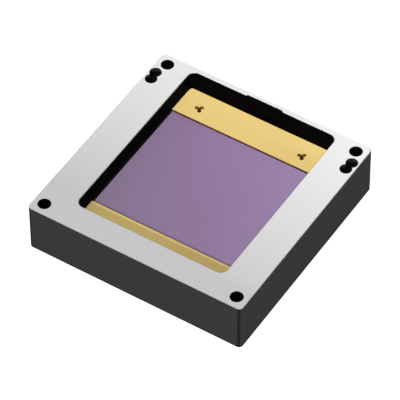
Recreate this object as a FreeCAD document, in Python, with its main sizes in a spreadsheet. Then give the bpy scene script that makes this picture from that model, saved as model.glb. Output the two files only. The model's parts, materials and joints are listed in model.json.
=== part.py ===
import FreeCAD, Part
import os
import Sketcher

# Uncooled infrared detector: a vacuum package and its board in one milled frame.
# Frame of reference: origin at the middle of the base, +Z out of the window, +Y to the thin rear rim.

doc = FreeCAD.newDocument("InfraredDetector")
sheet = doc.addObject("Spreadsheet::Sheet", "Sizes")

sizes = {
    # milled frame
    "bodyWidth": 25.0,
    "bodyDepth": 25.0,
    "bodyHeight": 5.9,
    "cornerRadius": 0.45,
    "edgeBreak": 0.06,
    "sideRim": 3.83,
    "frontRim": 2.92,
    "rearRim": 0.57,
    "openingRadius": 0.85,
    "notchWidth": 4.4,
    "notchDepth": 0.18,
    "sideLedge": 1.63,
    "frontLedge": 0.84,
    "pocketRadius": 0.4,
    "boardRim": 0.5,
    "undersideDepth": 0.76,
    # holes in the top face
    "mountInset": 1.25,
    "mountHoleDiameter": 1.4,
    "mountHoleDepth": 2.3,
    "twinHoleDiameter": 1.3,
    "twinFromSide": 0.8,
    "twinFromRear": 2.8,
    "twinStepAcross": 0.1,
    "twinStepAlong": 1.0,
    "twinRearDepth": 1.1,
    "twinFrontDepth": 1.7,
    "drillAngle": 118.0,
    # board and its screws
    "boardThickness": 0.4,
    "boardRadius": 0.3,
    "boardClearance": 0.1,
    "screwFromSide": 0.8,
    "screwFromEnd": 1.35,
    "screwDiameter": 1.0,
    "screwLength": 1.9,
    "screwHeadDiameter": 1.6,
    "screwHeadHeight": 0.35,
    "screwHeadEdge": 0.1,
    "screwRecessSpan": 0.9,
    "screwRecessArm": 0.22,
    "screwRecessDepth": 0.2,
    "screwFit": 0.02,
    "screwHoleClearance": 0.05,
    "screwHoleSpare": 0.2,
    # vacuum package and the lands under it
    "packageClearance": 0.1,
    "packageRadius": 0.4,
    "packageWall": 0.7,
    "floorThickness": 0.45,
    "shelfWidth": 1.6,
    "shelfHeight": 0.35,
    "wellRadius": 0.3,
    "ringThickness": 0.25,
    "sealSolder": 0.05,
    "landPitch": 1.5,
    "landWidth": 0.6,
    "landLength": 0.8,
    "landGap": 0.08,
    "landSolder": 0.05,
    "castellationWidth": 0.3,
    "castellationDepth": 0.12,
    # readout chip with its pixel array
    "dieThickness": 0.45,
    "dieSideGap": 0.9,
    "dieEndGap": 1.275,
    "dieAttach": 0.04,
    "dieAttachSetback": 0.1,
    "arraySideMargin": 0.92,
    "arrayEndMargin": 1.355,
    "arrayHeight": 0.02,
    "getterWidth": 0.45,
    "getterLength": 12.0,
    "getterThickness": 0.2,
    # bond wires
    "wireCount": 11,
    "wirePitch": 1.3,
    "wireThickness": 0.03,
    "wireFoot": 0.12,
    "wireRise": 0.15,
    "dieBondInset": 0.25,
    "shelfBondInset": 0.5,
    # window, lid and gasket
    "windowGap": 0.4,
    "windowThickness": 0.6,
    "windowOverlap": 0.4,
    "windowSolder": 0.05,
    "lidThickness": 0.3,
    "lidSetback": 0.1,
    "lidRadius": 0.5,
    "lidBorder": 3.58,
    "apertureBehindRim": 0.25,
    "apertureRadius": 0.35,
    "markSpacing": 12.28,
    "markShift": 0.24,
    "markFromRear": 2.07,
    "markHoleDiameter": 0.44,
    "markCircleRadius": 0.3,
    "markDeepDepth": 0.25,
    "markShallowDepth": 0.15,
    "gasketThickness": 0.15,
    "gasketSetback": 0.1,
    # receptacle of the board-to-board connector
    "connectorFromFront": 4.4,
    "connectorSetback": 0.16,
    "connectorWidth": 2.4,
    "connectorFloor": 0.15,
    "connectorWall": 0.35,
    "connectorEndWidth": 0.75,
    "tongueWidth": 0.7,
    "contactCount": 20,
    "contactPitch": 0.4,
    "contactWidth": 0.16,
    "contactThickness": 0.08,
    "contactTail": 0.35,
    "contactDrop": 0.12,
    "contactSlack": 0.02,
    "anchorWidth": 1.1,
    "anchorTail": 0.3,
    "anchorThickness": 0.1,
    # chips on the underside of the board, placed from its edges
    "leadThickness": 0.05,
    "leadWidth": 0.25,
    "leadReach": 0.1,
    "leadInside": 0.35,
    "memoryWidth": 3.0,
    "memoryLength": 2.6,
    "memoryHeight": 0.45,
    "memoryFromSide": 5.7,
    "memoryFromRear": 7.1,
    "memoryLeadCount": 4,
    "memoryPitch": 0.5,
    "regulatorWidth": 1.6,
    "regulatorLength": 1.6,
    "regulatorHeight": 0.45,
    "regulatorFromSide": 4.1,
    "regulatorFromRear": 7.3,
    "regulatorSpacing": 3.6,
    "regulatorLeadCount": 3,
    "regulatorPitch": 0.5,
    "sensorWidth": 1.2,
    "sensorLength": 1.0,
    "sensorHeight": 0.35,
    "sensorFromMiddle": 0.9,
    "sensorFromRear": 2.3,
    "sensorLeadCount": 2,
    "sensorPitch": 0.5,
    # chip capacitors and resistors, placed from the board's edges
    "chipLength": 1.0,
    "chipWidth": 0.5,
    "capacitorHeight": 0.5,
    "resistorHeight": 0.32,
    "terminalLength": 0.22,
    "capacitorCount": 7,
    "capacitorPitch": 1.5,
    "capacitorFromSide": 2.9,
    "capacitorFromRear": 11.3,
    "capacitorRowGap": 3.4,
    "resistorCount": 4,
    "resistorPitch": 1.2,
    "resistorFromSide": 3.1,
    "resistorFromRear": 14.3,
}
for row, (name, value) in enumerate(sizes.items(), start=1):
    sheet.set(f"A{row}", str(value))
    sheet.setAlias(f"A{row}", name)
doc.recompute()

# Heights, each counted from the one below it
boardBottom = "Sizes.undersideDepth"
boardTop = f"{boardBottom} + Sizes.boardThickness"
packageBottom = f"{boardTop} + Sizes.landSolder"
packageFloor = f"{packageBottom} + Sizes.floorThickness"
shelfTop = f"{packageFloor} + Sizes.shelfHeight"
dieBottom = f"{packageFloor} + Sizes.dieAttach"
dieTop = f"{dieBottom} + Sizes.dieThickness"
windowBottom = f"{dieTop} + Sizes.windowGap"
windowTop = f"{windowBottom} + Sizes.windowThickness"
lidBottom = f"{windowTop} + Sizes.windowSolder"
lidTop = f"{lidBottom} + Sizes.lidThickness"
ledge = f"{lidTop} + Sizes.gasketThickness"
ringTop = f"{lidBottom} - Sizes.sealSolder"
packageTop = f"{ringTop} - Sizes.ringThickness"

# Places and widths that several pieces share, each from the frame's outside inwards
openingX = "(Sizes.bodyWidth / 2 - Sizes.sideRim)"
openingFront = "(Sizes.frontRim - Sizes.bodyDepth / 2)"
openingRear = "(Sizes.bodyDepth / 2 - Sizes.rearRim)"
pocketX = f"({openingX} + Sizes.sideLedge)"
pocketFront = f"({openingFront} - Sizes.frontLedge)"
packageY = f"({openingRear} + {pocketFront}) / 2"
packageWidth = f"(2 * {pocketX} - 2 * Sizes.packageClearance)"
packageLength = f"({openingRear} - {pocketFront} - 2 * Sizes.packageClearance)"
wellWidth = f"({packageWidth} - 2 * Sizes.packageWall)"
wellLength = f"({packageLength} - 2 * Sizes.packageWall)"
dieWellLength = f"({wellLength} - 2 * Sizes.shelfWidth)"
dieWidth = f"({wellWidth} - 2 * Sizes.dieSideGap)"
dieLength = f"({dieWellLength} - 2 * Sizes.dieEndGap)"
lidWidth = f"({packageWidth} - 2 * Sizes.lidSetback)"
lidLength = f"({packageLength} - 2 * Sizes.lidSetback)"
apertureWidth = f"(2 * {openingX} + 2 * Sizes.apertureBehindRim)"
apertureLength = f"({lidLength} - 2 * Sizes.lidBorder)"
windowWidth = f"({apertureWidth} + 2 * Sizes.windowOverlap)"
windowLength = f"({apertureLength} + 2 * Sizes.windowOverlap)"
boardWidth = "(Sizes.bodyWidth - 2 * Sizes.boardRim - 2 * Sizes.boardClearance)"
boardLength = "(Sizes.bodyDepth - 2 * Sizes.boardRim - 2 * Sizes.boardClearance)"
screwX = f"({boardWidth} / 2 - Sizes.screwFromSide)"
screwY = f"({boardLength} / 2 - Sizes.screwFromEnd)"

# Lands along each side of the package, as many as clear those of the next side
landEnd = "(Sizes.landLength + Sizes.landWidth / 2 + Sizes.landGap)"
landCounts = {
    "front": f"(floor(({packageWidth} - 2 * {landEnd}) / Sizes.landPitch) + 1)",
    "side": f"(floor(({packageLength} - 2 * {landEnd}) / Sizes.landPitch) + 1)",
}


def amount(expression):
    # The number that an expression on the sheet gives now.
    return float(sheet.evalExpression(expression))


def plane(body, role):
    return next(part for part in body.Origin.OriginFeatures if part.Role == role)


def addBody(label, x="0", y="0", z="0", upsideDown=False):
    body = doc.addObject("PartDesign::Body", label)
    body.Label = label
    body.AllowCompound = True
    if upsideDown:
        body.Placement.Rotation = FreeCAD.Rotation(FreeCAD.Vector(1, 0, 0), 180)
    for axis, place in (("x", x), ("y", y), ("z", z)):
        body.setExpression(f"Placement.Base.{axis}", place)
    return body


def addSketch(body, name, lift="0", role="XY_Plane"):
    sketch = body.newObject("Sketcher::SketchObject", name)
    sketch.AttachmentSupport = [(plane(body, role), "")]
    sketch.MapMode = "FlatFace"
    sketch.setExpression("AttachmentOffset.Base.z", lift)
    return sketch


def bind(sketch, kind, where, expression):
    # One dimension of a sketch, held to its expression.
    index = sketch.addConstraint(Sketcher.Constraint(kind, *where, amount(expression)))
    sketch.setExpression(f"Constraints[{index}]", expression)


def addOutline(sketch, corners):
    # A closed outline of straight lines, each corner placed from the sketch's origin.
    first = sketch.GeometryCount
    points = [FreeCAD.Vector(amount(across), amount(along), 0) for across, along in corners]
    for point, following in zip(points, points[1:] + points[:1]):
        sketch.addGeometry(Part.LineSegment(point, following), False)
    for index, (across, along) in enumerate(corners):
        last = first + (index - 1) % len(corners)
        sketch.addConstraint(Sketcher.Constraint("Coincident", last, 2, first + index, 1))
        bind(sketch, "DistanceX", (-1, 1, first + index, 1), across)
        bind(sketch, "DistanceY", (-1, 1, first + index, 1), along)


def addRectangle(sketch, left, front, right, rear):
    # Four lines kept square, with two opposite corners placed.
    first = sketch.GeometryCount
    low = (amount(left), amount(front))
    high = (amount(right), amount(rear))
    points = [(low[0], low[1]), (high[0], low[1]), (high[0], high[1]), (low[0], high[1])]
    points = [FreeCAD.Vector(across, along, 0) for across, along in points]
    for point, following in zip(points, points[1:] + points[:1]):
        sketch.addGeometry(Part.LineSegment(point, following), False)
    for side in range(4):
        sketch.addConstraint(Sketcher.Constraint("Coincident", first + side, 2, first + (side + 1) % 4, 1))
        sketch.addConstraint(Sketcher.Constraint(("Horizontal", "Vertical")[side % 2], first + side))
    bind(sketch, "DistanceX", (-1, 1, first, 1), left)
    bind(sketch, "DistanceY", (-1, 1, first, 1), front)
    bind(sketch, "DistanceX", (-1, 1, first + 2, 1), right)
    bind(sketch, "DistanceY", (-1, 1, first + 2, 1), rear)


def addCentredRectangle(sketch, width, length):
    addRectangle(sketch, f"-({width}) / 2", f"-({length}) / 2", f"({width}) / 2", f"({length}) / 2")


def addCircle(sketch, across, along, diameter):
    centre = FreeCAD.Vector(amount(across), amount(along), 0)
    circle = Part.Circle(centre, FreeCAD.Vector(0, 0, 1), amount(diameter) / 2)
    index = sketch.addGeometry(circle, False)
    bind(sketch, "DistanceX", (-1, 1, index, 3), across)
    bind(sketch, "DistanceY", (-1, 1, index, 3), along)
    bind(sketch, "Diameter", (index,), diameter)


def addPad(sketch, name, length, middle=False):
    body = sketch.getParentGeoFeatureGroup()
    pad = body.newObject("PartDesign::Pad", name)
    pad.Profile = sketch
    pad.setExpression("Length", length)
    pad.Midplane = middle
    doc.recompute()
    return pad


def checkedCut(feature, before):
    # A cut that points the wrong way removes nothing, so the volume has to fall.
    doc.recompute()
    if feature.Shape.Volume >= before * (1 - 1e-9):
        raise RuntimeError(f"{feature.Name} cuts nothing")
    return feature


def addPocket(sketch, name, depth, upward=False):
    body = sketch.getParentGeoFeatureGroup()
    before = body.Tip.Shape.Volume
    pocket = body.newObject("PartDesign::Pocket", name)
    pocket.Profile = sketch
    pocket.setExpression("Length", depth)
    pocket.Reversed = upward
    return checkedCut(pocket, before)


def addDrilledHoles(sketch, name, diameter, depth, upward=False):
    body = sketch.getParentGeoFeatureGroup()
    before = body.Tip.Shape.Volume
    doc.recompute()
    hole = body.newObject("PartDesign::Hole", name)
    hole.Profile = sketch
    hole.DepthType = "Dimension"
    hole.DrillPoint = "Angled"
    hole.Reversed = upward
    hole.setExpression("Diameter", diameter)
    hole.setExpression("Depth", depth)
    hole.setExpression("DrillPointAngle", "Sizes.drillAngle")
    return checkedCut(hole, before)


def edgeNames(feature, wanted):
    edges = enumerate(feature.Shape.Edges, start=1)
    names = [f"Edge{number}" for number, edge in edges if wanted(edge)]
    if not names:
        raise RuntimeError(f"no edge found on {feature.Name}")
    return names


def standsAt(edge, xs, ys):
    # True for an upright straight edge whose place is one of the given x and y.
    if len(edge.Vertexes) != 2:
        return False
    foot, head = (vertex.Point for vertex in edge.Vertexes)
    upright = abs(foot.x - head.x) < 1e-6 and abs(foot.y - head.y) < 1e-6
    return upright and any(abs(foot.x - x) < 1e-4 for x in xs) and any(abs(foot.y - y) < 1e-4 for y in ys)


def roundCorners(feature, name, xs, ys, radius):
    body = feature.getParentGeoFeatureGroup()
    xs = [amount(x) for x in xs]
    ys = [amount(y) for y in ys]
    fillet = body.newObject("PartDesign::Fillet", name)
    fillet.Base = (feature, edgeNames(feature, lambda edge: standsAt(edge, xs, ys)))
    fillet.setExpression("Radius", radius)
    doc.recompute()
    return fillet


def roundFourCorners(feature, name, width, length, radius):
    return roundCorners(feature, name, (f"-({width}) / 2", f"({width}) / 2"),
                        (f"-({length}) / 2", f"({length}) / 2"), radius)


def breakEdges(feature, name, level, size):
    # Chamfers every edge that lies flat on one level.
    body = feature.getParentGeoFeatureGroup()
    height = amount(level)
    chamfer = body.newObject("PartDesign::Chamfer", name)
    chamfer.Base = (feature, edgeNames(feature, lambda edge: all(
        abs(vertex.Z - height) < 1e-6 for vertex in edge.Vertexes)))
    chamfer.setExpression("Size", size)
    doc.recompute()
    return chamfer


def addRow(features, name, steps, mirrorPlane=None):
    # Repeats features along one or two directions, then over a mirror plane.
    body = features[0].getParentGeoFeatureGroup()
    repeated = body.newObject("PartDesign::MultiTransform", name)
    repeated.Originals = features
    changes = []
    for direction, pitch, count in steps:
        row = body.newObject("PartDesign::LinearPattern", f"{name}_row")
        row.Direction = direction
        row.Mode = 1
        row.setExpression("Offset", pitch)
        row.setExpression("Occurrences", count)
        changes.append(row)
    if mirrorPlane is not None:
        mirror = body.newObject("PartDesign::Mirrored", f"{name}_mirror")
        mirror.MirrorPlane = mirrorPlane
        changes.append(mirror)
    repeated.Transformations = changes
    body.Tip = repeated
    doc.recompute()
    return repeated


def addRing(label, z, outerWidth, outerLength, innerWidth, innerLength, thickness, innerRadius,
            outerRadius=None):
    # A flat rectangular ring about the package's centre line, standing on z.
    body = addBody(label, y=packageY, z=z)
    outer = addSketch(body, f"{label}_outline")
    addCentredRectangle(outer, outerWidth, outerLength)
    addPad(outer, f"{label}_plate", thickness)
    inner = addSketch(body, f"{label}_inside", thickness)
    addCentredRectangle(inner, innerWidth, innerLength)
    window = addPocket(inner, f"{label}_cut", thickness)
    window = roundFourCorners(window, f"{label}_inner_corners", innerWidth, innerLength, innerRadius)
    if outerRadius:
        roundFourCorners(window, f"{label}_corners", outerWidth, outerLength, outerRadius)
    return body


# Milled frame: outline, opening from above, package and board pockets from below
def makeFrame():
    frame = addBody("housing_frame")
    outline = addSketch(frame, "frame_outline")
    addCentredRectangle(outline, "Sizes.bodyWidth", "Sizes.bodyDepth")
    block = addPad(outline, "frame_block", "Sizes.bodyHeight")
    block = roundFourCorners(block, "frame_corners", "Sizes.bodyWidth", "Sizes.bodyDepth",
                             "Sizes.cornerRadius")
    breakEdges(block, "base_edges", "0", "Sizes.edgeBreak")

    opening = addSketch(frame, "opening_outline", "Sizes.bodyHeight")
    addRectangle(opening, f"-{openingX}", openingFront, openingX, openingRear)
    cut = addPocket(opening, "window_opening", "Sizes.bodyHeight")
    roundCorners(cut, "opening_corners", (f"-{openingX}", openingX), (openingFront, openingRear),
                 "Sizes.openingRadius")

    notch = addSketch(frame, "notch_outline", "Sizes.bodyHeight")
    notchX = "Sizes.notchWidth / 2"
    notchRear = f"{openingRear} + Sizes.notchDepth"
    addOutline(notch, [
        (f"-{notchX}", f"{openingRear} - Sizes.openingRadius"),
        (notchX, f"{openingRear} - Sizes.openingRadius"),
        (notchX, openingRear),
        (f"{notchX} - Sizes.notchDepth", notchRear),
        (f"Sizes.notchDepth - {notchX}", notchRear),
        (f"-{notchX}", openingRear),
    ])
    addPocket(notch, "rear_notch", f"Sizes.bodyHeight - ({lidBottom})")

    packagePocket = addSketch(frame, "package_pocket_outline")
    addRectangle(packagePocket, f"-{pocketX}", pocketFront, pocketX, openingRear)
    cut = addPocket(packagePocket, "package_pocket", ledge, upward=True)
    roundCorners(cut, "package_pocket_corners", (f"-{pocketX}", pocketX), (pocketFront, openingRear),
                 "Sizes.pocketRadius")

    boardPocket = addSketch(frame, "board_pocket_outline")
    boardPocketWidth = "Sizes.bodyWidth - 2 * Sizes.boardRim"
    boardPocketLength = "Sizes.bodyDepth - 2 * Sizes.boardRim"
    addCentredRectangle(boardPocket, boardPocketWidth, boardPocketLength)
    cut = addPocket(boardPocket, "board_pocket", boardTop, upward=True)
    cut = roundFourCorners(cut, "board_pocket_corners", boardPocketWidth, boardPocketLength,
                           "Sizes.boardRadius")

    breakEdges(cut, "top_edges", "Sizes.bodyHeight", "Sizes.edgeBreak")

    mountX = "(Sizes.bodyWidth / 2 - Sizes.mountInset)"
    mountY = "(Sizes.bodyDepth / 2 - Sizes.mountInset)"
    mounts = addSketch(frame, "mount_places", "Sizes.bodyHeight")
    for side in ("-", ""):
        addCircle(mounts, f"{side}{mountX}", f"-{mountY}", "Sizes.mountHoleDiameter")
        addCircle(mounts, f"{side}{mountX}", mountY, "Sizes.mountHoleDiameter")
    addDrilledHoles(mounts, "mount_holes", "Sizes.mountHoleDiameter", "Sizes.mountHoleDepth")

    twinX = "(Sizes.bodyWidth / 2 - Sizes.twinFromSide)"
    twinY = "Sizes.bodyDepth / 2 - Sizes.twinFromRear"
    places = {
        "rear": (twinX, twinY),
        "front": (f"({twinX} - Sizes.twinStepAcross)", f"{twinY} - Sizes.twinStepAlong"),
    }
    for name, (across, along) in places.items():
        twins = addSketch(frame, f"twin_{name}_places", "Sizes.bodyHeight")
        addCircle(twins, f"-{across}", along, "Sizes.twinHoleDiameter")
        addCircle(twins, across, along, "Sizes.twinHoleDiameter")
        depth = f"Sizes.twin{name.capitalize()}Depth"
        addDrilledHoles(twins, f"twin_{name}_holes", "Sizes.twinHoleDiameter", depth)

    tapped = addSketch(frame, "screw_places", boardTop)
    bore = "Sizes.screwDiameter + 2 * Sizes.screwFit"
    for side in ("-", ""):
        addCircle(tapped, f"{side}{screwX}", f"-{screwY}", bore)
        addCircle(tapped, f"{side}{screwX}", screwY, bore)
    boreDepth = "Sizes.screwLength - Sizes.boardThickness + Sizes.screwHoleSpare"
    addPocket(tapped, "screw_holes", boreDepth, upward=True)
    return frame


# Black gasket between lid and frame: a U, open towards the thin rear rim
def makeGasket():
    gasket = addBody("lid_gasket", z=lidTop)
    halfWidth = f"({lidWidth} / 2 - Sizes.gasketSetback)"
    front = f"{packageY} - {lidLength} / 2 + Sizes.gasketSetback"
    rear = f"{packageY} + {lidLength} / 2 - Sizes.gasketSetback - Sizes.lidRadius"
    innerX = f"({openingX} + Sizes.gasketSetback)"
    innerFront = f"{openingFront} - Sizes.gasketSetback"
    outline = addSketch(gasket, "gasket_outline")
    addOutline(outline, [
        (f"-{halfWidth}", front),
        (halfWidth, front),
        (halfWidth, rear),
        (innerX, rear),
        (innerX, innerFront),
        (f"-{innerX}", innerFront),
        (f"-{innerX}", rear),
        (f"-{halfWidth}", rear),
    ])
    strip = addPad(outline, "gasket_strip", "Sizes.gasketThickness")
    roundCorners(strip, "gasket_corners", (f"-{halfWidth}", halfWidth), (front,), "Sizes.lidRadius")
    return gasket


# Gold plated lid with the aperture and two marks, each of four recesses that run together
def makeLid():
    lid = addRing("package_lid", lidBottom, lidWidth, lidLength, apertureWidth, apertureLength,
                  "Sizes.lidThickness", "Sizes.apertureRadius", "Sizes.lidRadius")
    markY = f"({lidLength} / 2 - Sizes.markFromRear)"
    spread = "Sizes.markCircleRadius * sqrt(3) / 2"
    recesses = {
        "middle": ("0", "0", "Sizes.markDeepDepth"),
        "front": ("Sizes.markCircleRadius / 2", f"-{spread}", "Sizes.markDeepDepth"),
        "rear": ("Sizes.markCircleRadius / 2", spread, "Sizes.markShallowDepth"),
        "left": ("-Sizes.markCircleRadius", "0", "Sizes.markShallowDepth"),
    }
    for name, (across, along, depth) in recesses.items():
        places = addSketch(lid, f"mark_{name}_places", "Sizes.lidThickness")
        for side in ("-", "+"):
            addCircle(places, f"{side}Sizes.markSpacing / 2 - Sizes.markShift + ({across})",
                      f"{markY} + ({along})", "Sizes.markHoleDiameter")
        addPocket(places, f"mark_{name}_recesses", depth)
    return lid


# Silicon window, diced with square corners, and the solder that holds it under the lid
def makeWindow():
    window = addBody("infrared_window", y=packageY, z=windowBottom)
    outline = addSketch(window, "window_outline")
    addCentredRectangle(outline, windowWidth, windowLength)
    addPad(outline, "window_plate", "Sizes.windowThickness")
    solder = addRing("window_solder", windowTop, windowWidth, windowLength, apertureWidth, apertureLength,
                     "Sizes.windowSolder", "Sizes.apertureRadius")
    return [window, solder]


# Stepped ceramic tub: die well, bond shelf front and rear, castellations round the sides
def makePackage():
    package = addBody("ceramic_package", y=packageY, z=packageBottom)
    height = f"{packageTop} - ({packageBottom})"
    outline = addSketch(package, "package_outline")
    addCentredRectangle(outline, packageWidth, packageLength)
    block = addPad(outline, "package_block", height)
    roundFourCorners(block, "package_corners", packageWidth, packageLength, "Sizes.packageRadius")

    upper = addSketch(package, "upper_well_outline", height)
    addCentredRectangle(upper, wellWidth, wellLength)
    shelfLevel = "Sizes.floorThickness + Sizes.shelfHeight"
    cut = addPocket(upper, "upper_well", f"{height} - ({shelfLevel})")
    roundFourCorners(cut, "upper_well_corners", wellWidth, wellLength, "Sizes.wellRadius")

    lower = addSketch(package, "die_well_outline", shelfLevel)
    addCentredRectangle(lower, wellWidth, dieWellLength)
    cut = addPocket(lower, "die_well", "Sizes.shelfHeight")
    roundFourCorners(cut, "die_well_corners", wellWidth, dieWellLength, "Sizes.wellRadius")

    # each groove tapers into the wall, so its three faces are flat
    sides = {
        "front": (f"-{packageLength} / 2", "H_Axis", "XZ_Plane"),
        "side": (f"-{packageWidth} / 2", "V_Axis", "YZ_Plane"),
    }
    for name, (wall, axis, mirror) in sides.items():
        middle = f"-Sizes.landPitch * ({landCounts[name]} - 1) / 2"
        profile = [
            (f"{middle} - Sizes.castellationWidth / 2", wall),
            (f"{middle} + Sizes.castellationWidth / 2", wall),
            (f"{middle} + Sizes.castellationWidth / 4", f"{wall} + Sizes.castellationDepth"),
            (f"{middle} - Sizes.castellationWidth / 4", f"{wall} + Sizes.castellationDepth"),
        ]
        if axis == "V_Axis":
            profile = [(across, along) for along, across in profile]
        groove = addSketch(package, f"{name}_castellation")
        addOutline(groove, profile)
        first = addPocket(groove, f"{name}_groove", height, upward=True)
        addRow([first], f"{name}_grooves", [((groove, [axis]), "Sizes.landPitch", landCounts[name])],
               (plane(package, mirror), [""]))
    return package


# Solder joints: one flat joint under each castellation
def makeSolderJoints():
    joints = addBody("package_solder_joints", y=packageY, z=boardTop)
    sides = {
        "front": (f"-{packageLength} / 2", "H_Axis", "XZ_Plane"),
        "side": (f"-{packageWidth} / 2", "V_Axis", "YZ_Plane"),
    }
    for name, (wall, axis, mirror) in sides.items():
        middle = f"-Sizes.landPitch * ({landCounts[name]} - 1) / 2"
        low = (f"{middle} - Sizes.landWidth / 2", wall)
        high = (f"{middle} + Sizes.landWidth / 2", f"{wall} + Sizes.landLength")
        if axis == "V_Axis":
            low = low[::-1]
            high = high[::-1]
        land = addSketch(joints, f"{name}_land")
        addRectangle(land, *low, *high)
        joint = addPad(land, f"{name}_joint", "Sizes.landSolder")
        addRow([joint], f"{name}_joints", [((land, [axis]), "Sizes.landPitch", landCounts[name])],
               (plane(joints, mirror), [""]))
    return joints


# Readout chip: the pixel array stands a hair above the silicon round it
def makeDie():
    die = addBody("focal_plane_die", y=packageY, z=dieBottom)
    outline = addSketch(die, "die_outline")
    addCentredRectangle(outline, dieWidth, dieLength)
    addPad(outline, "silicon", "Sizes.dieThickness")
    array = addSketch(die, "array_outline", "Sizes.dieThickness")
    addCentredRectangle(array, f"{dieWidth} - 2 * Sizes.arraySideMargin",
                        f"{dieLength} - 2 * Sizes.arrayEndMargin")
    addPad(array, "pixel_array", "Sizes.arrayHeight")

    attach = addBody("die_attach", y=packageY, z=packageFloor)
    film = addSketch(attach, "attach_outline")
    addCentredRectangle(film, f"{dieWidth} - 2 * Sizes.dieAttachSetback",
                        f"{dieLength} - 2 * Sizes.dieAttachSetback")
    addPad(film, "attach_film", "Sizes.dieAttach")
    return [die, attach]


# Getter strips: one in each gap between the chip and the side of the well
def makeGetters():
    getters = addBody("getter_strips", y=packageY, z=packageFloor)
    strip = addSketch(getters, "getter_outline")
    middle = f"({wellWidth} + {dieWidth}) / 4"
    for side in ("-", ""):
        addRectangle(strip, f"{side}{middle} - Sizes.getterWidth / 2", "-Sizes.getterLength / 2",
                     f"{side}{middle} + Sizes.getterWidth / 2", "Sizes.getterLength / 2")
    addPad(strip, "getter_pair", "Sizes.getterThickness")
    return getters


# Bond wires: each rises at 45 degrees and falls to the bond shelf; repeated along the row and mirrored
def makeBondWires():
    wires = addBody("bond_wires", y=packageY, z=dieTop)
    dieBond = f"({dieLength} / 2 - Sizes.dieBondInset)"
    shelfBond = f"({dieWellLength} / 2 + Sizes.shelfBondInset)"
    shelfDrop = f"{shelfTop} - ({dieTop})"
    loop = [
        (f"{dieBond} - Sizes.wireFoot", "0"),
        (dieBond, "0"),
        (f"{dieBond} + Sizes.wireRise", "Sizes.wireRise"),
        (shelfBond, shelfDrop),
        (f"{shelfBond} + Sizes.wireFoot", shelfDrop),
    ]
    upper = [(along, f"{height} + Sizes.wireThickness") for along, height in reversed(loop)]
    first = "-Sizes.wirePitch * (Sizes.wireCount - 1) / 2"
    profile = addSketch(wires, "wire_profile", first, "YZ_Plane")
    addOutline(profile, loop + upper)
    wire = addPad(profile, "wire", "Sizes.wireThickness", middle=True)
    addRow([wire], "wire_rows", [((profile, ["N_Axis"]), "Sizes.wirePitch", "Sizes.wireCount")],
           (plane(wires, "XZ_Plane"), [""]))
    return wires


def makeBoard():
    board = addBody("interface_board", z=boardBottom)
    outline = addSketch(board, "board_outline")
    addCentredRectangle(outline, boardWidth, boardLength)
    plate = addPad(outline, "board_plate", "Sizes.boardThickness")
    roundFourCorners(plate, "board_corners", boardWidth, boardLength, "Sizes.boardRadius")
    holes = addSketch(board, "board_hole_places", "Sizes.boardThickness")
    diameter = "Sizes.screwDiameter + 2 * Sizes.screwHoleClearance"
    for side in ("-", ""):
        addCircle(holes, f"{side}{screwX}", f"-{screwY}", diameter)
        addCircle(holes, f"{side}{screwX}", screwY, diameter)
    addPocket(holes, "board_holes", "Sizes.boardThickness")
    return board


# Board screws: turned profile with a cross recess, one at each corner
def makeScrews():
    screws = addBody("board_screws", f"-{screwX}", f"-{screwY}", boardBottom)
    radius = "Sizes.screwDiameter / 2"
    head = "Sizes.screwHeadDiameter / 2"
    profile = addSketch(screws, "screw_profile", role="XZ_Plane")
    addOutline(profile, [
        ("0", "-Sizes.screwHeadHeight"),
        (f"{head} - Sizes.screwHeadEdge", "-Sizes.screwHeadHeight"),
        (head, "Sizes.screwHeadEdge - Sizes.screwHeadHeight"),
        (head, "0"),
        (radius, "0"),
        (radius, "Sizes.screwLength"),
        ("0", "Sizes.screwLength"),
    ])
    screw = screws.newObject("PartDesign::Revolution", "screw_turned")
    screw.Profile = profile
    screw.ReferenceAxis = (profile, ["V_Axis"])
    screw.Angle = 360
    doc.recompute()

    recess = addSketch(screws, "recess_outline", "-Sizes.screwHeadHeight")
    span = "Sizes.screwRecessSpan / 2"
    arm = "Sizes.screwRecessArm / 2"
    quarter = [(span, f"-{arm}"), (span, arm), (arm, arm)]
    cross = []
    for turn in range(4):
        cross += quarter
        quarter = [(f"-({along})", across) for across, along in quarter]
    addOutline(recess, cross)
    recessCut = addPocket(recess, "cross_recess", "Sizes.screwRecessDepth", upward=True)
    addRow([screw, recessCut], "screw_corners", [
        ((recess, ["H_Axis"]), f"2 * {screwX}", "2"),
        ((recess, ["V_Axis"]), f"2 * {screwY}", "2"),
    ])
    return screws


# Receptacle under the board, drawn mating side up and then turned over
connectorY = f"Sizes.connectorFromFront - {boardLength} / 2"
connectorHeight = f"({boardBottom} - Sizes.connectorSetback)"
connectorLength = "(Sizes.contactPitch * Sizes.contactCount + 2 * Sizes.connectorEndWidth)"
trenchRim = "(Sizes.connectorWidth / 2 - Sizes.connectorWall)"
firstContact = "-Sizes.contactPitch * (Sizes.contactCount - 1) / 2"


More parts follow.
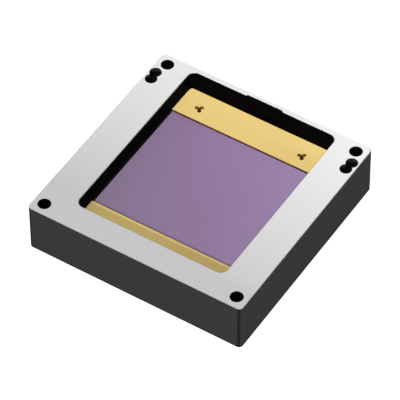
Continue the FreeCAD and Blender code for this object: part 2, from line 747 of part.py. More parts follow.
def makeConnectorHousing():
    housing = addBody("connector_housing", y=connectorY, z=boardBottom, upsideDown=True)
    outline = addSketch(housing, "receptacle_outline")
    addCentredRectangle(outline, connectorLength, "Sizes.connectorWidth")
    addPad(outline, "receptacle_block", connectorHeight)

    trench = addSketch(housing, "trench_outline", connectorHeight)
    trenchLength = f"({connectorLength} - 2 * Sizes.connectorWall)"
    addCentredRectangle(trench, trenchLength, f"2 * {trenchRim}")
    tongueLength = "(Sizes.contactPitch * Sizes.contactCount)"
    addCentredRectangle(trench, tongueLength, "Sizes.tongueWidth")
    addPocket(trench, "trench", f"{connectorHeight} - Sizes.connectorFloor")

    slot = addSketch(housing, "slot_outline")
    halfSlot = "(Sizes.contactWidth / 2 + Sizes.contactSlack)"
    addRectangle(slot, f"{firstContact} - {halfSlot}",
                 f"{trenchRim} - Sizes.contactThickness - Sizes.contactSlack",
                 f"{firstContact} + {halfSlot}", "Sizes.connectorWidth / 2 + Sizes.contactSlack")
    first = addPocket(slot, "contact_slot", "Sizes.connectorFloor + Sizes.contactSlack", upward=True)
    addRow([first], "contact_slots", [((slot, ["H_Axis"]), "Sizes.contactPitch", "Sizes.contactCount")],
           (plane(housing, "XZ_Plane"), [""]))
    return housing


# Contacts: a tail on the board, through the slot and up the inside of the wall
def makeConnectorContacts():
    contacts = addBody("connector_contacts", y=connectorY, z=boardBottom, upsideDown=True)
    profile = addSketch(contacts, "contact_profile", firstContact, "YZ_Plane")
    inner = f"{trenchRim} - Sizes.contactThickness"
    tail = "Sizes.connectorWidth / 2 + Sizes.contactTail"
    tip = f"{connectorHeight} - Sizes.contactDrop"
    addOutline(profile, [
        (inner, "0"),
        (tail, "0"),
        (tail, "Sizes.contactThickness"),
        (trenchRim, "Sizes.contactThickness"),
        (trenchRim, tip),
        (inner, tip),
    ])
    contact = addPad(profile, "contact", "Sizes.contactWidth", middle=True)
    addRow([contact], "contact_rows", [((profile, ["N_Axis"]), "Sizes.contactPitch", "Sizes.contactCount")],
           (plane(contacts, "XZ_Plane"), [""]))
    return contacts


# Anchors: a soldered metal clip over each end of the receptacle
def makeConnectorAnchors():
    anchors = addBody("connector_anchors", y=connectorY, z=boardBottom, upsideDown=True)
    profile = addSketch(anchors, "anchor_profile", role="XZ_Plane")
    face = f"{connectorLength} / 2"
    outer = f"{face} + Sizes.anchorThickness"
    tail = f"{outer} + Sizes.anchorTail"
    rise = f"{connectorHeight} - Sizes.contactDrop"
    addOutline(profile, [
        (face, "0"),
        (tail, "0"),
        (tail, "Sizes.anchorThickness"),
        (outer, "Sizes.anchorThickness"),
        (outer, rise),
        (face, rise),
    ])
    anchor = addPad(profile, "anchor", "Sizes.anchorWidth", middle=True)
    addRow([anchor], "anchor_pair", [], (plane(anchors, "YZ_Plane"), [""]))
    return anchors


# A moulded chip on its leads; copies stand in a row along X
def makeChip(label, leadLabel, size, x, y, spacing=None):
    width, length, height = (f"Sizes.{size}{side}" for side in ("Width", "Length", "Height"))
    chip = addBody(label, x, y, boardBottom, upsideDown=True)
    outline = addSketch(chip, f"{label}_outline", "Sizes.leadThickness")
    addCentredRectangle(outline, width, length)
    block = addPad(outline, f"{label}_block", height)

    leads = addBody(leadLabel, x, y, boardBottom, upsideDown=True)
    lead = addSketch(leads, f"{label}_lead")
    firstLead = f"-Sizes.{size}Pitch * (Sizes.{size}LeadCount - 1) / 2"
    addRectangle(lead, f"{firstLead} - Sizes.leadWidth / 2", f"{length} / 2 - Sizes.leadInside",
                 f"{firstLead} + Sizes.leadWidth / 2", f"{length} / 2 + Sizes.leadReach")
    tab = addPad(lead, f"{label}_tab", "Sizes.leadThickness")
    steps = [((lead, ["H_Axis"]), f"Sizes.{size}Pitch", f"Sizes.{size}LeadCount")]
    if spacing:
        addRow([block], f"{label}_pair", [((outline, ["H_Axis"]), spacing, "2")])
        steps.append(((lead, ["H_Axis"]), spacing, "2"))
    addRow([tab], f"{label}_tabs", steps, (plane(leads, "XZ_Plane"), [""]))
    return [chip, leads]


# Two-terminal chips in rows: the ceramic and its metal end caps are separate solids
def makeChipRows(label, terminalLabel, height, x, y, steps):
    bodies = []
    middle = "Sizes.chipLength - 2 * Sizes.terminalLength"
    ceramic = addBody(label, x, y, boardBottom, upsideDown=True)
    outline = addSketch(ceramic, f"{label}_outline")
    addCentredRectangle(outline, "Sizes.chipWidth", middle)
    block = addPad(outline, f"{label}_block", height)
    addRow([block], f"{label}_rows", [((outline, [axis]), pitch, count) for axis, pitch, count in steps])
    bodies.append(ceramic)

    terminals = addBody(terminalLabel, x, y, boardBottom, upsideDown=True)
    cap = addSketch(terminals, f"{label}_cap_outline")
    addRectangle(cap, "-Sizes.chipWidth / 2", f"({middle}) / 2", "Sizes.chipWidth / 2",
                 "Sizes.chipLength / 2")
    addRectangle(cap, "-Sizes.chipWidth / 2", "-Sizes.chipLength / 2", "Sizes.chipWidth / 2",
                 f"-({middle}) / 2")
    caps = addPad(cap, f"{label}_caps", height)
    addRow([caps], f"{label}_cap_rows", [((cap, [axis]), pitch, count) for axis, pitch, count in steps])
    bodies.append(terminals)
    return bodies


parts = [makeFrame(), makeGasket(), makeLid()]
parts += makeWindow()
for label, z, thickness in (("lid_seal_solder", ringTop, "Sizes.sealSolder"),
                            ("seal_ring", packageTop, "Sizes.ringThickness")):
    parts.append(addRing(label, z, lidWidth, lidLength, wellWidth, wellLength, thickness,
                         "Sizes.wellRadius", "Sizes.lidRadius"))
parts.append(makePackage())
parts += makeDie()
parts += [makeGetters(), makeBondWires(), makeSolderJoints(), makeBoard(), makeScrews()]
parts += [makeConnectorHousing(), makeConnectorContacts(), makeConnectorAnchors()]
parts += makeChip("calibration_memory", "memory_leads", "memory",
                  f"Sizes.memoryFromSide - {boardWidth} / 2", f"{boardLength} / 2 - Sizes.memoryFromRear")
parts += makeChip("bias_regulators", "regulator_leads", "regulator",
                  f"{boardWidth} / 2 - Sizes.regulatorFromSide - Sizes.regulatorSpacing",
                  f"{boardLength} / 2 - Sizes.regulatorFromRear", "Sizes.regulatorSpacing")
parts += makeChip("temperature_sensor", "sensor_leads", "sensor",
                  "Sizes.sensorFromMiddle", f"{boardLength} / 2 - Sizes.sensorFromRear")
parts += makeChipRows("decoupling_capacitors", "capacitor_terminals", "Sizes.capacitorHeight",
                      f"Sizes.capacitorFromSide - {boardWidth} / 2",
                      f"{boardLength} / 2 - Sizes.capacitorFromRear",
                      [("H_Axis", "Sizes.capacitorPitch", "Sizes.capacitorCount"),
                       ("V_Axis", "Sizes.capacitorRowGap", "2")])
parts += makeChipRows("chip_resistors", "resistor_terminals", "Sizes.resistorHeight",
                      f"{boardWidth} / 2 - Sizes.resistorFromSide"
                      " - Sizes.resistorPitch * (Sizes.resistorCount - 1)",
                      f"{boardLength} / 2 - Sizes.resistorFromRear",
                      [("H_Axis", "Sizes.resistorPitch", "Sizes.resistorCount")])

doc.recompute()
for item in doc.Objects:
    if "Invalid" in item.State or "Error" in item.State:
        raise RuntimeError(f"{item.Name} failed: {item.State}")
for part in parts:
    if part.Shape.isNull() or not part.Shape.isValid():
        raise RuntimeError(f"{part.Label} has no valid shape")

os.makedirs("parts", exist_ok=True)
for part in parts:
    part.Shape.exportStep(f"parts/{part.Label}.step")
    print(f"{part.Label}: {len(part.Shape.Solids)} solid(s), {part.Shape.Volume:.3f} cubic mm")
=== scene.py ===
import json
import math

import bmesh
import bpy
import numpy as np
from mathutils import Matrix, Vector


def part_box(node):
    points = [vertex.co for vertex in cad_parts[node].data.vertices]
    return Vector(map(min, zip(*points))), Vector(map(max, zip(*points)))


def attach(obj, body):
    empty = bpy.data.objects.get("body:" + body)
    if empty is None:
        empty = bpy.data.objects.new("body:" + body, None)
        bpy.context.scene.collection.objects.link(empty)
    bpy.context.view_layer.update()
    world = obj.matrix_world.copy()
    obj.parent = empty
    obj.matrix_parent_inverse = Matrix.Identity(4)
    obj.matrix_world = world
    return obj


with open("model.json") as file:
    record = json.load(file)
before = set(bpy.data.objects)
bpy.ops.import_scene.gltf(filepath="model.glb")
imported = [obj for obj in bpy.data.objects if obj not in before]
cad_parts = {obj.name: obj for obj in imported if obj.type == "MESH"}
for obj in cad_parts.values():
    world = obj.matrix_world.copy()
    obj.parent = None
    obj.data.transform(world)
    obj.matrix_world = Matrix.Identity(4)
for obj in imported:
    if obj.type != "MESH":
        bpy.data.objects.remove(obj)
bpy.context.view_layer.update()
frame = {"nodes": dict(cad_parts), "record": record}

# Uncooled infrared detector: a milled frame round a recessed gold plated lid and a purple window.
nodes = frame["nodes"]
mounts = {mount["name"]: mount for mount in frame["record"]["mounts"]}
mm = 0.001
print("frame loaded:", len(nodes), "nodes")


def boxOf(name):
    # A node's lowest and highest corner, in millimetres.
    return [[value / mm for value in corner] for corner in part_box(name)]


def solidBoxes(name, decimals=4):
    # The boxes of the separate solids in one node: joined corners end up with the same, lowest label.
    mesh = nodes[name].data
    points = np.empty(len(mesh.vertices) * 3)
    mesh.vertices.foreach_get("co", points)
    points = np.round(points.reshape(-1, 3) / mm, decimals)
    places, place = np.unique(points, axis=0, return_inverse=True)
    ends = np.empty(len(mesh.edges) * 2, int)
    mesh.edges.foreach_get("vertices", ends)
    first, second = place.ravel()[ends].reshape(-1, 2).T
    label = np.arange(len(places))
    before = label + 1
    while (label != before).any():
        before = label.copy()
        least = np.minimum(label[first], label[second])
        np.minimum.at(label, first, least)
        np.minimum.at(label, second, least)
        label = label[label]
    return np.array([[places[label == one].min(0), places[label == one].max(0)] for one in np.unique(label)])


holePattern = mounts["top_screw_holes"]["dims"]
holeX = holePattern["spacing_x_mm"] / 2
holeY = holePattern["spacing_y_mm"] / 2
holeRadius = holePattern["hole_r_mm"]
frameTop = boxOf("housing_frame")[1][2]
boardBottom = boxOf("interface_board")[0][2]


# Shader maths

softEdge = 0.02  # width of most edges between two colours, in millimetres


class Wire:
    # One socket of a node tree; arithmetic on it adds Math nodes.
    def __init__(self, tree, socket):
        self.tree = tree
        self.socket = socket

    def maths(self, operation, *values):
        return self.tree.add("ShaderNodeMath", {"operation": operation}, dict(enumerate(values)))

    def __add__(self, other):
        return self.maths("ADD", self, other)

    def __radd__(self, other):
        return self.maths("ADD", other, self)

    def __sub__(self, other):
        return self.maths("SUBTRACT", self, other)

    def __rsub__(self, other):
        return self.maths("SUBTRACT", other, self)

    def __mul__(self, other):
        return self.maths("MULTIPLY", self, other)

    def __rmul__(self, other):
        return self.maths("MULTIPLY", other, self)

    def __abs__(self):
        return self.maths("ABSOLUTE", self)

    def lower(self, other):
        return self.maths("MINIMUM", self, other)

    def higher(self, other):
        return self.maths("MAXIMUM", self, other)

    def across(self, other):
        # the distance whose two parts, at right angles, these are
        return self.maths("SQRT", self * self + other * other)

    def ramp(self, start, end):
        # 0 below start, 1 above end, and a smooth rise between; a start above the end falls instead
        return self.tree.add("ShaderNodeMapRange", {"interpolation_type": "SMOOTHSTEP"},
                             {"Value": self, "From Min": start, "From Max": end})

    def within(self, limit, soft=softEdge):
        # 1 up to the limit, falling to 0 over the width soft past it
        return self.ramp(limit + soft, limit)

    def band(self, low, high, soft=softEdge):
        # 1 between low and high, 0 outside, with edges that rise over the width soft
        return self.ramp(low, low + soft) * self.ramp(high, high - soft)

    def wave(self, pitch):
        # a sine of that pitch, from 0 to 1
        return self.maths("SINE", self * (2 * math.pi / pitch)) * 0.5 + 0.5

    def spaced(self, pitch):
        # how far it is from the nearest multiple of the pitch
        return self.maths("PINGPONG", self, pitch / 2)


class Tree:
    # A tree of shader nodes, each of them made by add.
    def __init__(self, nodeTree):
        self.nodeTree = nodeTree

    def add(self, kind, settings=None, links=None, output=0):
        # Any node: its type, its settings, then the values or wires of its sockets.
        node = self.nodeTree.nodes.new(kind)
        for name, value in (settings or {}).items():
            setattr(node, name, value)
        for key, value in (links or {}).items():
            if isinstance(value, Wire):
                self.nodeTree.links.new(value.socket, node.inputs[key])
            else:
                node.inputs[key].default_value = value
        return node if output is None else Wire(self, node.outputs[output])

    def seen(self):
        # 1 for what the camera sees, itself or in a reflection or through glass, 0 for light on the object
        path = self.add("ShaderNodeLightPath", output=None)
        camera, mirrored, through = (Wire(self, path.outputs["Is %s Ray" % kind])
                                     for kind in ("Camera", "Glossy", "Transmission"))
        return camera.higher(mirrored).higher(through)

    def endIn(self, outputName, surface):
        # The surface is what this tree makes.
        self.nodeTree.links.new(surface.socket, self.nodeTree.nodes[outputName].inputs["Surface"])


class Finish(Tree):
    # One material: its Principled shader and the piece's own coordinates in millimetres.
    def __init__(self, name, **constants):
        self.material = bpy.data.materials.new(name)
        self.material.use_nodes = True
        super().__init__(self.material.node_tree)
        self.shader = self.nodeTree.nodes["Principled BSDF"]
        for socket, value in constants.items():
            self.shader.inputs[socket.replace("_", " ")].default_value = value
        place = self.add("ShaderNodeTexCoord", output="Object")
        self.point = self.add("ShaderNodeVectorMath", {"operation": "SCALE"}, {0: place, "Scale": 1 / mm})
        self.x, self.y, self.z = self.split(self.point)
        self.nx, self.ny, self.nz = self.split(self.add("ShaderNodeNewGeometry", output="Normal"))

    def split(self, vector):
        parts = self.add("ShaderNodeSeparateXYZ", links={0: vector}, output=None)
        return [Wire(self, parts.outputs[axis]) for axis in "XYZ"]

    def mix(self, factor, first, second):
        # A blend of two colours, first at 0 and second at 1.
        colours = [(*colour, 1.0) if isinstance(colour, tuple) else colour for colour in (first, second)]
        return self.add("ShaderNodeMix", {"data_type": "RGBA"}, {0: factor, 6: colours[0], 7: colours[1]}, 2)

    def noise(self, size, detail=3.0, stretch=None):
        # Noise whose grains are about that many millimetres across.
        where = self.point
        if stretch:
            where = self.add("ShaderNodeVectorMath", {"operation": "MULTIPLY"}, {0: where, 1: stretch})
        return self.add("ShaderNodeTexNoise", links={"Vector": where, "Scale": 1 / size, "Detail": detail})

    def cells(self, size, settings=None):
        # How far the nearest of many scattered points is, in cells of that many millimetres.
        links = {"Vector": self.point, "Scale": 1 / size}
        return self.add("ShaderNodeTexVoronoi", settings, links, "Distance")

    def set(self, **wires):
        for socket, wire in wires.items():
            self.nodeTree.links.new(wire.socket, self.shader.inputs[socket.replace("_", " ")])

    def bump(self, height):
        # The height is in millimetres.
        self.set(Normal=self.add("ShaderNodeBump", links={"Height": height, "Distance": mm}))

    def wear(self, names):
        for name in names:
            slots = nodes[name].data.materials
            slots.clear()
            slots.append(self.material)


def shaded(colour, share):
    # The colour at that share of its brightness, none of its parts over 1.
    return tuple(min(1.0, part * share) for part in colour)


# Frame: black anodised, its top face cut bright

frameLook = {
    # the cut face's colour at the front and at the rear; the painted sheen blends between them
    "frontTop": (0.535, 0.535, 0.537),
    "rearTop": (0.875, 0.875, 0.877),
    # the cut edges, as lit and shaded copies: painted shade on the outer and left inner edges, a painted
    # highlight on the rear one
    "outerEdge": (0.34, 0.34, 0.342),
    "rearEdge": (0.62, 0.62, 0.624),
    "leftEdge": (0.30, 0.30, 0.302),
    "side": (0.0318, 0.0318, 0.0321),
    "corner": (0.0135, 0.0135, 0.014),
    # painted shade: the inner walls, the corner holes and the twin holes
    "wall": (0.0022, 0.0022, 0.0022),
    "hole": (0.0025, 0.0025, 0.0025),
    "twinFloor": (0.0045, 0.0045, 0.0045),
    # painted highlight on the twin holes' far walls
    "twinWall": (0.035, 0.035, 0.036),
    "topMetal": 0.35,
    "topRoughness": 0.36,
    "sideRoughness": 0.5,
    "roughnessSpread": 0.08,
    "cutDepth": 0.07,
    "flatNormal": (0.85, 0.95),  # height of the normal: from here on a face counts as flat
    "edgeNormal": (0.4, 0.6),  # and from here on as an edge
    "cornerRise": (0.1, 0.18),  # sideways part of the normal at both edges of the stripe of painted shade on a corner
    "cornerFall": (0.85, 0.65),
    "rearNormal": (-0.3, -0.5),  # an inner edge that faces the front is the rear one, which gets the painted highlight
    "insideHalf": 12.2,  # what lies nearer the middle than this is inside
    "holeMargin": 0.05,
    "twinSideways": (0.72, 0.84),  # reach of the twin holes round their mount, inwards and outwards
    "twinAlong": (0.8, 1.8),  # and to the front and the rear
    "twinWallDepth": (0.7, 0.2),
    "twinWallAlong": (-0.1, 0.3),
    "brightStart": -8.5,  # painted sheen: to the rear of this the cut face is painted brighter, by this much each millimetre
    "brightening": 0.041,
    "rightAcross": (3.0, 10.0),  # painted sheen: the front rim is painted brighter towards the right
    "rightAlong": (-10.8, -8.4),
    "rightBrightening": 0.16,
    "cloudSize": 3.0,
    "cloudSpread": 0.06,
    "grainSize": 0.05,  # grain of the black sides, then the marks of the cutter on the top face
    "grainHeight": 0.002,
    "millSize": 0.09,
    "millStretch": (1.0, 0.06, 1.0),
    "millHeight": 0.001,
}


def frameFinish():
    look = frameLook
    finish = Finish("brightCutFrame", IOR=1.05, Specular_IOR_Level=0.2)
    x, y, z = finish.x, finish.y, finish.z
    flat = finish.nz.ramp(*look["flatNormal"])
    cut = z.ramp(frameTop - look["cutDepth"], frameTop - look["cutDepth"] + softEdge)
    top = cut * flat
    edge = cut * (1 - flat) * finish.nz.ramp(*look["edgeNormal"])
    inside = abs(x).higher(abs(y)).within(look["insideHalf"], soft=0.1)

    # where each dark colour lies: painted shade on the inner walls and in the holes, far darker than the
    # sides
    sideways = abs(finish.nx)
    # painted shade: a dark stripe down each rounded corner of the sides
    corner = sideways.ramp(*look["cornerRise"]) * sideways.ramp(*look["cornerFall"])
    hole = (abs(x) - holeX).across(abs(y) - holeY).within(holeRadius + look["holeMargin"], soft=0.05)
    twinX, twinY = (value / mm for value in mounts["twin_hole_right"]["pos_m"][:2])
    twin = (abs(x).band(twinX - look["twinSideways"][0], twinX + look["twinSideways"][1])
            * y.band(twinY - look["twinAlong"][0], twinY + look["twinAlong"][1], soft=0.05))
    deep, shallow = look["twinWallDepth"]
    front, rear = look["twinWallAlong"]
    # painted highlight: the twin holes' far walls are painted lighter near the top, as if catching the light
    twinWall = twin * z.ramp(frameTop - deep, frameTop - shallow) * y.ramp(twinY + front, twinY + rear)
    side = finish.mix(corner, look["side"], look["corner"])
    side = finish.mix(inside, side, look["wall"])
    side = finish.mix(twin, side, look["twinFloor"])
    side = finish.mix(twinWall, side, look["twinWall"])
    side = finish.mix(hole, side, look["hole"])
    # painted highlight on the inner edge that faces the front, painted shade on the others
    litAndShadedInnerEdge = finish.mix(finish.ny.ramp(*look["rearNormal"]), look["leftEdge"], look["rearEdge"])
    side = finish.mix(edge, side, finish.mix(inside, look["outerEdge"], litAndShadedInnerEdge))

    # painted sheen: the cut face is painted brighter toward the rear and the right, standing in for the
    # light there
    grain = finish.noise(look["grainSize"], detail=4.0)
    milled = finish.noise(look["millSize"], stretch=look["millStretch"])
    cloud = finish.noise(look["cloudSize"], detail=2.0)
    sheenToRight = x.ramp(*look["rightAcross"]) * y.ramp(*look["rightAlong"]) * look["rightBrightening"]
    paintedSheen = (y - look["brightStart"]).higher(0.0) * look["brightening"] + sheenToRight
    paintedSheen = paintedSheen * (cloud * look["cloudSpread"] + (1 - look["cloudSpread"] / 2))
    face = finish.mix(paintedSheen, look["frontTop"], look["rearTop"])
    finish.set(Base_Color=finish.mix(top, side, face), Metallic=top * look["topMetal"],
               Roughness=top * (look["topRoughness"] - look["sideRoughness"]) + look["sideRoughness"]
               + (grain - 0.5) * look["roughnessSpread"])
    finish.bump(grain * (1 - top) * look["grainHeight"] + milled * top * look["millHeight"])
    finish.wear(["housing_frame"])


# Lid: satin gold plating, brown inside the marks, with painted shade deeper in them and a dark brown painted
# shade on the aperture's edge

lidLook = {
    "gold": (0.79, 0.585, 0.205),
    "cloudShade": 0.98,
    "cloudRise": (0.3, 0.7),
    "rimGold": (0.97, 0.72, 0.27),
    # painted shade: dark brown on the lid's edges
    "edge": (0.10, 0.045, 0.018),
    "mark": (0.15, 0.080, 0.006),
    "deepMark": (0.055, 0.018, 0.001),
    "metal": 0.03,
    "roughness": 0.42,
    "roughnessSpread": 0.1,
    "edgeRoughness": 0.2,  # more than on the face
    "rearRim": (9.0, 11.8, 0.6),  # painted light: where the gold is painted brighter, from and to, and by what share
    "frontRim": (-6.4, -6.7, 0.3),
    "rearCorner": (9.0, 11.0, 0.4),
    "cornerAcross": (1.0, 9.5),
    "markAlong": (8.4, 8.5),
    "markDepth": (0.22, 0.16),  # between the deep recesses and the shallow ones
    "grainSize": 0.04,
    "cloudSize": 2.2,
    "rolledSize": 0.12,
    "rolledStretch": (0.08, 1.0, 1.0),
    "grainHeight": 0.00075,
    "rolledHeight": 0.00075,
}


def lidFinish():
    look = lidLook
    top = boxOf("package_lid")[1][2]
    finish = Finish("satinGoldPlate", Metallic=look["metal"], IOR=1.15)
    y, z = finish.y, finish.z
    face = z.ramp(top - softEdge, top - softEdge / 2)
    grain = finish.noise(look["grainSize"])
    cloud = finish.noise(look["cloudSize"], detail=2.0)
    rolled = finish.noise(look["rolledSize"], stretch=look["rolledStretch"])
    # painted light: the gold is painted brighter near the rear rim, more so at its right, and on the front
    # strip
    rear, corner, front = (y.ramp(start, end) * share for start, end, share in (
        look["rearRim"], look["rearCorner"], look["frontRim"]))
    paintedRimLight = rear + finish.x.ramp(*look["cornerAcross"]) * corner + front
    cloud = cloud.ramp(*look["cloudRise"])
    gold = finish.mix(cloud, shaded(look["gold"], look["cloudShade"]), look["gold"])
    gold = finish.mix(paintedRimLight, gold, look["rimGold"])
    # painted shade: the marks are painted darker where they are deep, the lid's edges a dark brown
    deep, shallow = look["markDepth"]
    mark = finish.mix(z.ramp(top - deep, top - shallow), look["deepMark"], look["mark"])
    edge = finish.mix(y.ramp(*look["markAlong"]), look["edge"], mark)
    finish.set(Base_Color=finish.mix(face, edge, gold),
               Roughness=look["roughness"] + (grain - 0.5) * look["roughnessSpread"]
               + (1 - face) * look["edgeRoughness"])
    finish.bump(grain * look["grainHeight"] + rolled * look["rolledHeight"])
    finish.wear(["package_lid"])


# Window: coated silicon, purple in daylight

windowLook = {
    "left": (0.210, 0.160, 0.247),
    "middle": (0.262, 0.173, 0.307),
    "right": (0.322, 0.224, 0.392),
    "slant": (0.8, 0.6),  # painted sheen: the colour grows lighter along this direction
    "reach": 10.0,
    "filmSize": 7.0,
    "filmDrift": 1.5,
    # painted shade along the window's left and right edges
    "border": (0.016, 0.010, 0.018),
    "borderWidth": 0.65,
    "borderSoft": 0.06,
    "roughness": 0.3,
    "roughnessSpread": 0.05,
    "hazeSize": 0.6,
}


def windowFinish():
    look = windowLook
    finish = Finish("coatedWindow", IOR=1.15)
    # painted sheen: the purple is painted lighter towards the right and the rear, with a random drift
    film = finish.noise(look["filmSize"], detail=2.0)
    sheenDrift = (finish.x * look["slant"][0] + finish.y * look["slant"][1]
             + (film - 0.5) * look["filmDrift"]) * (1 / look["reach"])
    colour = finish.mix(sheenDrift + 1, look["left"], look["middle"])
    colour = finish.mix(sheenDrift, colour, look["right"])
    # painted shade: the window is painted near black along its left and right edges, next to the walls
    edge = boxOf("infrared_window")[1][0] - look["borderWidth"]
    colour = finish.mix(abs(finish.x).ramp(edge, edge + look["borderSoft"]), colour, look["border"])
    haze = finish.noise(look["hazeSize"], detail=4.0)
    finish.set(Base_Color=colour, Roughness=look["roughness"] + (haze - 0.5) * look["roughnessSpread"])
    finish.wear(["infrared_window"])


frameFinish()
lidFinish()
windowFinish()
print("frame, lid and window finished")


# Board: green solder mask over copper, bare laminate at its edges

boardLook = {
    "mask": (0.007, 0.046, 0.025),
    "copper": (0.016, 0.105, 0.052),
    "copperSpread": 0.3,
    "copperHeight": 0.018,
    "laminate": (0.36, 0.33, 0.17),
    "ply": (0.24, 0.22, 0.10),
    "plyPitch": 0.1,
    "plyGrain": 0.06,
    "plyShare": 0.7,  # against the grain's
    "weavePitch": 0.42,
    "weaveShade": (0.1, 0.5),  # share of copper green in the mask, on average and how it varies
    "weaveHeight": 0.0045,
    "trackPitch": 0.4,
    "trackWidth": 0.15,
    "tracksHalf": 4.0,  # half the width of the row of tracks
    "trackOverlap": 0.1,  # how far the tracks reach under the contacts
    "tracksEnd": 3.3,
    "fanStart": -4.6,
    "fanReach": 3.2,
    "busOffset": 0.1,
    "busPitch": 0.35,
    "busWidth": 0.14,
    "busAlong": (7.0, 8.6),
    "busHalf": 9.38,
    "pour": (9.9, 11.45),
    "viaSpacing": 1.9,
    "viaRadius": 0.17,
    "viaHole": (0.003, 0.014, 0.009),
    "viaHoleRadius": 0.06,
    "viaDepth": 0.018,
    "roughness": 0.34,
    "edgeRoughness": 0.4,  # more than on the mask
    "roughnessSpread": 0.1,
    "hazeSize": 1.6,
    "grainSize": 0.05,
    "grainHeight": 0.0024,
    "flatNormal": (0.5, 0.7),
}


def boardFinish():
    look = boardLook
    finish = Finish("boardLaminate", IOR=1.35)
    x, y = finish.x, finish.y
    # tracks run back from the contacts, fan out at 45 degrees and run on
    tracksStart = boxOf("connector_contacts")[1][1] - look["trackOverlap"]
    lane = abs(x) - (y - look["fanStart"]).higher(0.0).lower(look["fanReach"])
    track = ((lane + look["trackPitch"] / 2).spaced(look["trackPitch"]).within(look["trackWidth"] / 2)
             * lane.band(0.0, look["tracksHalf"]) * y.band(tracksStart, look["tracksEnd"]))
    bus = ((y + look["busOffset"]).spaced(look["busPitch"]).within(look["busWidth"] / 2)
           * y.band(*look["busAlong"], soft=0.05) * abs(x).within(look["busHalf"]))
    pour = abs(x).higher(abs(y)).band(*look["pour"], soft=0.03)
    via = finish.cells(look["viaSpacing"], {"voronoi_dimensions": "2D"}) * look["viaSpacing"]
    ring = via.within(look["viaRadius"])
    hole = via.within(look["viaHoleRadius"])
    copper = track.higher(bus).higher(pour).higher(ring)
    weave = (x.wave(look["weavePitch"]) - 0.5) * (y.wave(look["weavePitch"]) - 0.5)
    haze = finish.noise(look["hazeSize"])
    clouded = copper * (haze * look["copperSpread"] + (1 - look["copperSpread"] / 2))
    mask = finish.mix(clouded, look["mask"], look["copper"])
    mask = finish.mix(weave * look["weaveShade"][1] + look["weaveShade"][0], mask, look["copper"])
    mask = finish.mix(hole, mask, look["viaHole"])
    layers = finish.z.wave(look["plyPitch"]) * look["plyShare"]
    ply = finish.mix(layers + finish.noise(look["plyGrain"]) * (1 - look["plyShare"]),
                     look["laminate"], look["ply"])
    flat = abs(finish.nz).ramp(*look["flatNormal"])
    grain = finish.noise(look["grainSize"], detail=4.0)
    finish.set(Base_Color=finish.mix(flat, ply, mask),
               Roughness=look["roughness"] + (1 - flat) * look["edgeRoughness"]
               + (grain - 0.5 + weave) * look["roughnessSpread"])
    finish.bump(copper * look["copperHeight"] + weave * look["weaveHeight"] + grain * look["grainHeight"]
                - hole * look["viaDepth"])
    finish.wear(["interface_board"])


boardFinish()
print("board finished")


# Chips: moulded black, each with a round dimple at its first lead

chipLook = {
    "mould": (0.02, 0.02, 0.021),
    "cloudShade": 0.7,
    "cloudShare": 0.6,  # against the grain's
    "dimple": (0.05, 0.05, 0.052),
    "dimpleRadius": 0.09,  # radius and inset are shares of the chip's width
    "dimpleInset": 0.2,
    "dimpleDepth": 0.005,
    "downNormal": (-0.8, -0.9),
    "roughness": 0.66,
    "dimpleGloss": 0.3,
    "roughnessSpread": 0.2,
    "grainSize": 0.025,
    "grainHeight": 0.0025,
    "cloudSize": 0.8,
}


def chipFinish(members):
    look = chipLook
    finish = Finish("chipMould")
    grain = finish.noise(look["grainSize"], detail=4.0)
    cloud = finish.noise(look["cloudSize"], detail=2.0)
    dimples = None
    for low, high in np.concatenate([solidBoxes(name) for name in members]).tolist():
        width = min(high[0] - low[0], high[1] - low[1])
        inset, radius = look["dimpleInset"] * width, look["dimpleRadius"] * width
        away = (finish.x - (low[0] + inset)).across(finish.y - (high[1] - inset))
        near = away.within(radius)
        dimples = near if dimples is None else dimples.higher(near)
    dimples = dimples * finish.nz.ramp(*look["downNormal"])
    mould = finish.mix(cloud * look["cloudShare"] + grain * (1 - look["cloudShare"]),
                       shaded(look["mould"], look["cloudShade"]), look["mould"])
    finish.set(Base_Color=finish.mix(dimples, mould, look["dimple"]),
               Roughness=look["roughness"] - dimples * look["dimpleGloss"]
               + (grain - 0.5) * look["roughnessSpread"])
    finish.bump(grain * look["grainHeight"] - dimples * look["dimpleDepth"])
    finish.wear(members)


chipFinish(["calibration_memory", "bias_regulators", "temperature_sensor"])
print("chips finished")


# Chip with the pixel array

dieLook = {
    "silicon": (0.20, 0.20, 0.235),
    "array": (0.115, 0.085, 0.145),
    "band": (0.32, 0.29, 0.27),
    "pad": (0.80, 0.62, 0.30),
    "metal": 0.7,
    "arrayHalf": (7.68, 6.145),
    "arrayHeight": 0.002,
    "rowPitch": 0.24,
    "rowShade": 0.5,
    "rowHeight": 0.0008,
    "bandAlong": (0.25, 0.80),  # distances from the array's front or rear edge
    "bandPitch": 0.1,
    "bandGap": (0.02, 0.03),
    "bandShade": 0.8,
    "padAlong": (1.00, 1.22),
    "padPitch": 0.3,
    "padHalf": 0.08,
    "padHeight": 0.0016,
    "roughness": 0.16,
    "arrayRoughness": 0.2,  # more than on the silicon
    "roughnessSpread": 0.06,
    "hazeSize": 2.5,
}


